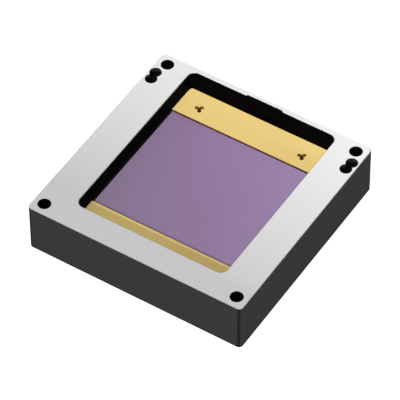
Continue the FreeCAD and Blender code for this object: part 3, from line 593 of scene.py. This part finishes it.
def dieFinish():
    look = dieLook
    low, high = boxOf("focal_plane_die")
    finish = Finish("polishedSilicon", Metallic=look["metal"])
    x = finish.x
    y = finish.y - (low[1] + high[1]) / 2
    halfX, halfY = look["arrayHalf"]
    array = abs(x).within(halfX) * abs(y).within(halfY)
    rows = x.spaced(look["rowPitch"]).lower(y.spaced(look["rowPitch"])).within(0.0)
    past = abs(y) - halfY
    band = past.band(*look["bandAlong"]) * x.spaced(look["bandPitch"]).ramp(*look["bandGap"])
    pads = (past.band(*look["padAlong"], soft=0.01)
            * x.spaced(look["padPitch"]).within(look["padHalf"], soft=0.01))
    haze = finish.noise(look["hazeSize"])
    colour = finish.mix(array, look["silicon"], look["array"])
    colour = finish.mix(array * rows * look["rowShade"], colour, look["silicon"])
    colour = finish.mix(band * look["bandShade"], colour, look["band"])
    colour = finish.mix(pads, colour, look["pad"])
    finish.set(Base_Color=colour, Roughness=look["roughness"] + array * look["arrayRoughness"]
               + (haze - 0.5) * look["roughnessSpread"])
    finish.bump(array * look["arrayHeight"] + rows * array * look["rowHeight"] + pads * look["padHeight"])
    finish.wear(["focal_plane_die"])


# Ceramic tub: fired layers show as lines on its upright faces

ceramicLook = {
    "dark": (0.060, 0.050, 0.049),
    "light": (0.092, 0.078, 0.075),
    "layerLine": (0.03, 0.025, 0.025),
    "layerPitch": 0.15,
    "layerLineHalf": 0.012,
    "layerLineDepth": 0.004,
    "uprightNormal": (0.6, 0.4),
    "speck": (0.14, 0.13, 0.13),
    "speckSpacing": 0.12,
    "speckEdge": (0.12, 0.05),
    "speckShade": 0.4,
    "roughness": 0.72,
    "roughnessSpread": 0.16,
    "grainSize": 0.03,
    "grainHeight": 0.0032,
}


def ceramicFinish():
    look = ceramicLook
    finish = Finish("darkAlumina")
    grain = finish.noise(look["grainSize"], detail=4.0)
    specks = finish.cells(look["speckSpacing"]).ramp(*look["speckEdge"])
    upright = abs(finish.nz).ramp(*look["uprightNormal"])
    line = finish.z.spaced(look["layerPitch"]).within(0.0, soft=look["layerLineHalf"]) * upright
    colour = finish.mix(grain, look["dark"], look["light"])
    colour = finish.mix(line, colour, look["layerLine"])
    finish.set(Base_Color=finish.mix(specks * look["speckShade"], colour, look["speck"]),
               Roughness=look["roughness"] + (grain - 0.5) * look["roughnessSpread"])
    finish.bump(grain * look["grainHeight"] - line * look["layerLineDepth"])
    finish.wear(["ceramic_package"])


dieFinish()
ceramicFinish()
print("die and package finished")


# The other pieces, in the finish of their metal, plastic or ceramic

smallLook = {
    "cloudGrains": 14,  # sizes of the clouds and of the pits' cells, in grains
    "pitGrains": 2.5,
    "pitEdge": (0.22, 0.1),
    "pitShade": 0.5,
    "pitSpread": 3,  # how much darker the pits are, in spreads of the colour
    "roughnessSpread": 0.15,
    "pitRoughness": 0.1,
    "grainShare": 0.7,  # shares of the grain's depth
    "pitShare": 0.3,
}
leads = ["connector_anchors", "memory_leads", "regulator_leads", "sensor_leads", "capacitor_terminals",
         "resistor_terminals"]
seals = ["window_solder", "lid_seal_solder", "package_solder_joints"]
# name, nodes, colour, roughness, metallic, grain in millimetres, depth of the grain, spread of the colour
smallPieces = [
    ("satinSolder", seals, (0.62, 0.60, 0.54), 0.45, 1.0, 0.06, 0.003, 0.08),
    ("platedRing", ["seal_ring"], (0.72, 0.60, 0.36), 0.35, 1.0, 0.04, 0.001, 0.05),
    ("bondFilm", ["die_attach"], (0.5, 0.5, 0.48), 0.5, 0.6, 0.03, 0.002, 0.15),
    ("getterMetal", ["getter_strips"], (0.3, 0.3, 0.31), 0.75, 0.8, 0.05, 0.02, 0.25),
    ("bondGold", ["bond_wires"], (0.9, 0.68, 0.3), 0.25, 1.0, 0.02, 0.0005, 0.04),
    ("gasketRubber", ["lid_gasket"], (0.012, 0.012, 0.012), 0.8, 0.0, 0.04, 0.003, 0.2),
    ("screwSteel", ["board_screws"], (0.52, 0.52, 0.53), 0.32, 1.0, 0.03, 0.001, 0.06),
    ("connectorPlastic", ["connector_housing"], (0.022, 0.022, 0.023), 0.5, 0.0, 0.05, 0.004, 0.15),
    ("contactGold", ["connector_contacts"], (0.86, 0.65, 0.3), 0.26, 1.0, 0.03, 0.0008, 0.05),
    ("tinPlate", leads, (0.68, 0.68, 0.69), 0.44, 1.0, 0.04, 0.002, 0.07),
    ("capacitorCeramic", ["decoupling_capacitors"], (0.36, 0.24, 0.14), 0.45, 0.0, 0.03, 0.002, 0.12),
    ("resistorGlaze", ["chip_resistors"], (0.015, 0.015, 0.018), 0.25, 0.0, 0.06, 0.001, 0.2),
]


def smallFinish(name, members, colour, roughness, metallic, grainSize, depth, spread):
    # One colour with clouds and a fine grain; tiny pits darken it.
    look = smallLook
    finish = Finish(name, Metallic=metallic)
    grain = finish.noise(grainSize, detail=4.0)
    cloud = finish.noise(grainSize * look["cloudGrains"], detail=2.0)
    pits = finish.cells(grainSize * look["pitGrains"]).ramp(*look["pitEdge"])
    clouded = finish.mix(cloud, shaded(colour, 1 - spread), shaded(colour, 1 + spread))
    dull = shaded(colour, 1 - look["pitSpread"] * spread)
    finish.set(Base_Color=finish.mix(pits * look["pitShade"], clouded, dull),
               Roughness=roughness + (grain - 0.5) * look["roughnessSpread"] + pits * look["pitRoughness"])
    finish.bump(grain * (look["grainShare"] * depth) - pits * (look["pitShare"] * depth))
    finish.wear(members)
    return finish


finishes = {row[0]: smallFinish(*row) for row in smallPieces}
print("small pieces finished:", len(finishes))


# New pieces: grids of points in millimetres, joined into closed shells

def gridFaces(rows, columns):
    # Quads of a grid of points, row by row; each row closes on itself.
    row, column = np.meshgrid(np.arange(rows - 1), np.arange(columns), indexing="ij")
    following = (column + 1) % columns
    return np.stack([row * columns + column, row * columns + following,
                     (row + 1) * columns + following, (row + 1) * columns + column], -1).reshape(-1, 4)


def copiesOf(faces, count, size):
    # The faces of many equal shells of size points each, one after the other.
    return [[index + size * copy for index in face] for copy in range(count) for face in faces]


def addPiece(name, points, faces, material, smooth=False):
    # Points in millimetres and faces of any length become one closed piece, faces outward, at the origin.
    mesh = bpy.data.meshes.new(name)
    mesh.from_pydata((np.asarray(points).reshape(-1, 3) * mm).tolist(), [], faces)
    shell = bmesh.new()
    shell.from_mesh(mesh)
    bmesh.ops.remove_doubles(shell, verts=shell.verts, dist=1e-5 * mm)
    bmesh.ops.recalc_face_normals(shell, faces=shell.faces)
    shell.to_mesh(mesh)
    shell.free()
    mesh.polygons.foreach_set("use_smooth", [smooth] * len(mesh.polygons))
    piece = bpy.data.objects.new(name, mesh)
    bpy.context.scene.collection.objects.link(piece)
    mesh.materials.append(material)
    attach(piece, "root")


# Threads in the four corner holes

threadShape = {
    "crest": 0.045,
    "pitch": 0.35,
    "rootWidth": 0.24,
    "crestWidth": 0.06,
    "sunk": 0.004,  # how far the ridge's foot lies in the wall
    "fromTop": 0.14,
    "turns": 5.3,
    "runOut": 0.25,  # turns over which each end thins out, down to this share of the crest
    "thinnest": 0.02,
    "stepsPerTurn": 30,
    "dark": (0.001, 0.001, 0.001),
    "light": (0.002, 0.002, 0.002),
    "grainSize": 0.1,
    "roughness": 0.6,
}


def addThreads():
    # A ridge carried down a helix: angle t turns, radius and height follow the ridge's own section,
    # and the height falls by one pitch each turn. The ridge thins out at both ends.
    shape = threadShape
    count = int(shape["turns"] * shape["stepsPerTurn"]) + 1
    turn = np.linspace(0.0, shape["turns"], count)
    ease = np.clip(np.minimum(turn, shape["turns"] - turn) / shape["runOut"], shape["thinnest"], 1.0)
    root = np.full(count, holeRadius + shape["sunk"])
    crest = holeRadius - shape["crest"] * ease
    halfRoot = shape["rootWidth"] / 2
    halfCrest = shape["crestWidth"] / 2
    radius = np.stack([root, crest, crest, root], 1)
    rise = np.array([-halfRoot, -halfCrest, halfCrest, halfRoot])
    angle = (2 * np.pi * turn)[:, None]
    height = frameTop - shape["fromTop"] - halfRoot - shape["pitch"] * turn[:, None] + rise
    ridge = np.stack([radius * np.cos(angle), -radius * np.sin(angle), height], -1).reshape(-1, 3)
    last = 4 * count - 1
    faces = gridFaces(count, 4).tolist() + [[0, 1, 2, 3], [last, last - 1, last - 2, last - 3]]
    corners = np.array([(x, y, 0.0) for x in (-holeX, holeX) for y in (-holeY, holeY)])
    finish = Finish("blackThread", Roughness=shape["roughness"], IOR=1.05)
    finish.set(Base_Color=finish.mix(finish.noise(shape["grainSize"]), shape["dark"], shape["light"]))
    addPiece("mount_threads", ridge + corners[:, None], copiesOf(faces, len(corners), 4 * count),
             finish.material)


addThreads()
print("threads made")


# Solder fillets round the leads and end caps on the board

filletShape = {
    "leads": [  # node, what its leads belong to, how far the solder climbs them
        ("memory_leads", "calibration_memory", 0.035),
        ("regulator_leads", "bias_regulators", 0.035),
        ("sensor_leads", "temperature_sensor", 0.035),
        ("capacitor_terminals", "decoupling_capacitors", 0.32),
        ("resistor_terminals", "chip_resistors", 0.20),
        ("connector_contacts", "connector_housing", 0.06),
        ("connector_anchors", "connector_housing", 0.08),
    ],
    "outward": 0.14,
    "sideways": 0.05,
    "edge": 0.006,
    "leadEdge": 0.5,
    "steps": (-1.0, -0.72, -0.5, 0.5, 0.72, 1.0),  # across a mound; the lead's edges are at leadEdge
}


def soldered(leadNode, owner):
    # Each lead's box outside its owner, and the margins of solder at its low and high sides.
    shape = filletShape
    owners = solidBoxes(owner)[:, :, :2]
    rows = []
    for low, high in solidBoxes(leadNode)[:, :, :2]:
        middle = (low + high) / 2
        body = owners[np.abs(owners.mean(1) - middle).sum(1).argmin()]
        offset = (middle - body.mean(0)) / (body[1] - body[0])
        axis = int(abs(offset[1]) > abs(offset[0]))
        margins = np.full((2, 2), shape["sideways"])
        if offset[axis] > 0:
            low[axis] = max(low[axis], body[1][axis])
            margins[:, axis] = (0.0, shape["outward"])
        else:
            high[axis] = min(high[axis], body[0][axis])
            margins[:, axis] = (shape["outward"], 0.0)
        rows.append((low, high, *margins))
    return rows


def addFillets():
    # A mound over each lead: its height is the climb over the lead itself and falls as the square of
    # what is left of the margin, so its slope is hollow and nearly flat at its thin edge.
    shape = filletShape
    steps = np.array(shape["steps"])
    size = len(steps)
    outside = np.clip((np.abs(steps) - shape["leadEdge"]) / (1 - shape["leadEdge"]), 0, 1)
    left = 1 - np.minimum(1, np.hypot(outside[:, None], outside[None, :]))
    within = np.clip(steps / shape["leadEdge"], -1, 1)
    place = np.arange(size * size).reshape(size, size)
    rim = np.concatenate([place[0], place[1:, -1], place[-1, -2::-1], place[-2:0:-1, 0]])
    mounds = []
    for leadNode, owner, climb in shape["leads"]:
        for low, high, before, after in soldered(leadNode, owner):
            lines = [(low[k] + high[k]) / 2 + within * (high[k] - low[k]) / 2
                     + np.where(steps < 0, -outside * before[k], outside * after[k]) for k in (0, 1)]
            across, along = np.meshgrid(*lines, indexing="ij")
            height = shape["edge"] + climb * left ** 2
            mound = np.stack([across, along, boardBottom - height], -1).reshape(-1, 3)
            foot = mound[rim]
            foot[:, 2] = boardBottom
            mounds.append(np.concatenate([mound, foot]))
    quads = np.stack([place[:-1, :-1], place[:-1, 1:], place[1:, 1:], place[1:, :-1]], -1).reshape(-1, 4)
    base = size * size + np.arange(len(rim))
    sides = np.stack([rim, np.roll(rim, -1), np.roll(base, -1), base], -1)
    faces = quads.tolist() + sides.tolist() + [base.tolist()]
    addPiece("solder_fillets", np.array(mounds), copiesOf(faces, len(mounds), len(mounds[0])),
             finishes["satinSolder"].material, smooth=True)


addFillets()
print("fillets made")


# Bare gold pads on the board: test points and two aiming dots

padShape = {
    "testPads": {"start": (-8.6, 9.7), "pitch": 1.2, "count": 6, "radius": 0.32},
    "sidePads": {"start": (7.4, -8.6), "pitch": 1.1, "count": 3, "radius": 0.32},
    "aimingDots": [(-8.2, -5.2), (9.2, 9.9)],
    "aimingRadius": 0.5,
    "thickness": 0.02,
    "profile": [(1.0, 0.0), (1.0, 0.6), (0.94, 0.95), (0.5, 1.0)],  # shares of radius and thickness
    "sides": 20,
}


def addPads():
    # Discs turned from one profile: up the edge from the board and inwards over a slight dome.
    shape = padShape
    discs = [(*place, shape["aimingRadius"]) for place in shape["aimingDots"]]
    for row in (shape["testPads"], shape["sidePads"]):
        discs += [(row["start"][0] + row["pitch"] * step, row["start"][1], row["radius"])
                  for step in range(row["count"])]
    sides = shape["sides"]
    rings = len(shape["profile"])
    angle = np.arange(sides) * 2 * np.pi / sides
    reach, drop = np.array(shape["profile"]).T[:, :, None]
    height = boardBottom - drop * shape["thickness"] + 0 * angle
    points = [np.stack([x + radius * reach * np.cos(angle), y + radius * reach * np.sin(angle), height], -1)
              for x, y, radius in discs]
    caps = [list(range(sides)), list(range((rings - 1) * sides, rings * sides))]
    faces = gridFaces(rings, sides).tolist() + caps
    addPiece("test_pads", np.array(points), copiesOf(faces, len(discs), rings * sides),
             finishes["contactGold"].material)


addPads()
print("pads made")


# Floor, light and camera

studio = {
    "worldLevel": 0.15,
    "backdropLevel": 0.8,
    "floorLevel": 0.75,
    "floorGlow": 0.7,
    "floorRoughness": 0.9,
    "floorHalf": 1.5,  # metres, as is the gap under the object
    "floorGap": 2e-5,
    "lampsAimAt": 5.0,  # height on the object's axis, in millimetres
}
# azimuth from the front toward the right, elevation, distance and size in metres, watts, in reflections;
# the key lamp is left out of reflections, so that the cut face stays grey from behind
lamps = {
    "keyLamp": (4.0, 38.6, 0.40, 0.03, 1.30, False),
    "highLamp": (30.0, 76.0, 0.40, 0.12, 0.67, True),
    "fillLamp": (97.0, 10.0, 0.40, 0.15, 0.63, True),
}
cameraView = {
    "azimuth": 32.7772,
    "elevation": 48.4878,
    "roll": -0.3695,
    "distance": 14.7437,  # from the middle of the top face, in sides of the frame, as are across and up
    "across": -0.0044,
    "up": -0.0897,
    "focal": 3697.0,  # in pixels of a picture that is imageWidth wide
    "imageWidth": 400,
    "sensorWidth": 36.0,
    "clip": (0.01, 10.0),
}


def directionOf(azimuth, elevation):
    # From the object to what stands at these angles, in degrees.
    azimuth, elevation = math.radians(azimuth), math.radians(elevation)
    return Vector((math.sin(azimuth) * math.cos(elevation), -math.cos(azimuth) * math.cos(elevation),
                   math.sin(elevation)))


def addWorld():
    # A dim white lights the object, and a pale grey is what the camera sees.
    world = bpy.data.worlds.new("studio")
    bpy.context.scene.world = world
    world.use_nodes = True
    light = world.node_tree.nodes["Background"]
    light.inputs["Color"].default_value = (1, 1, 1, 1)
    light.inputs["Strength"].default_value = studio["worldLevel"]
    tree = Tree(world.node_tree)
    level = studio["backdropLevel"]
    backdrop = tree.add("ShaderNodeBackground", links={"Color": (level, level, level, 1), "Strength": 1.0})
    tree.endIn("World Output", tree.add("ShaderNodeMixShader", links={
        0: tree.seen(), 1: Wire(tree, light.outputs[0]), 2: backdrop}))


def addFloor():
    # The floor also glows, but only for what the camera sees.
    half, below = studio["floorHalf"], -studio["floorGap"]
    corners = [(-half, -half, below), (half, -half, below), (half, half, below), (-half, half, below)]
    mesh = bpy.data.meshes.new("floor")
    mesh.from_pydata(corners, [], [(0, 1, 2, 3)])
    floor = bpy.data.objects.new("floor", mesh)
    bpy.context.scene.collection.objects.link(floor)
    level = studio["floorLevel"]
    finish = Finish("paleFloor", Base_Color=(level, level, level, 1), Roughness=studio["floorRoughness"],
                    Specular_IOR_Level=0.0)
    glow = finish.add("ShaderNodeEmission", links={"Strength": finish.seen() * studio["floorGlow"]})
    lit = Wire(finish, finish.shader.outputs[0])
    finish.endIn("Material Output", finish.add("ShaderNodeAddShader", links={0: lit, 1: glow}))
    mesh.materials.append(finish.material)


def addLamp(name, azimuth, elevation, distance, size, power, mirrored):
    # A square soft box that looks at the object's middle.
    light = bpy.data.lights.new(name, "AREA")
    light.shape = "SQUARE"
    light.size = size
    light.energy = power
    lamp = bpy.data.objects.new(name, light)
    bpy.context.scene.collection.objects.link(lamp)
    away = directionOf(azimuth, elevation)
    lamp.location = Vector((0, 0, studio["lampsAimAt"] * mm)) + away * distance
    lamp.rotation_euler = (-away).to_track_quat("-Z", "Y").to_euler()
    lamp.visible_camera = False
    lamp.visible_glossy = mirrored


def addCamera():
    # The camera looks back along its direction, turned by the roll and shifted across and up.
    view = cameraView
    back = directionOf(view["azimuth"], view["elevation"])
    right = Vector((0, 0, 1)).cross(back).normalized()
    up = back.cross(right)
    roll = math.radians(view["roll"])
    turnedRight = math.cos(roll) * right + math.sin(roll) * up
    turnedUp = -math.sin(roll) * right + math.cos(roll) * up
    low, high = boxOf("housing_frame")
    eye = Vector((0, 0, frameTop)) + (high[0] - low[0]) * (
        back * view["distance"] + turnedRight * view["across"] + turnedUp * view["up"])
    data = bpy.data.cameras.new("camera")
    data.sensor_width = view["sensorWidth"]
    data.lens = view["focal"] / view["imageWidth"] * view["sensorWidth"]
    data.clip_start, data.clip_end = view["clip"]
    camera = bpy.data.objects.new("camera", data)
    bpy.context.scene.collection.objects.link(camera)
    camera.matrix_world = Matrix.Translation(eye * mm) @ Matrix(
        (turnedRight, turnedUp, back)).transposed().to_4x4()
    bpy.context.scene.camera = camera


addWorld()
addFloor()
for name, settings in lamps.items():
    addLamp(name, *settings)
addCamera()
bpy.context.scene.view_settings.view_transform = "Standard"
print("studio ready")
